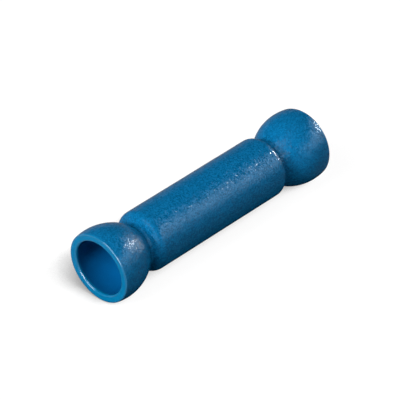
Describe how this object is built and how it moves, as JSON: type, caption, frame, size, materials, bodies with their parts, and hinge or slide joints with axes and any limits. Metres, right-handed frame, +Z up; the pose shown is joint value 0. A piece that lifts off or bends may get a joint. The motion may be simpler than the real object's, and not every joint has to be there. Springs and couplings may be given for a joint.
{
  "type": "butt splice connector",
  "caption": "Insulated butt splice connector: a blue plastic sleeve with pinched necks and two bowl-shaped mouths, formed round a tinned crimp barrel with a wire stop at mid length.",
  "frame": {"origin": "on the surface that the connector lies on, under its middle", "axes": "+X along the connector's axis, +Z up, away from the surface"},
  "size_m": [0.026, 0.0068, 0.0068],
  "materials": {
    "sleeve_plastic": "satin blue plastic with a fine pebbled grain",
    "barrel_metal": "bright tin plating on copper"
  },
  "bodies": {
    "root": {"insulation_sleeve": "sleeve_plastic", "crimp_barrel": "barrel_metal"}
  },
  "joints": []
}
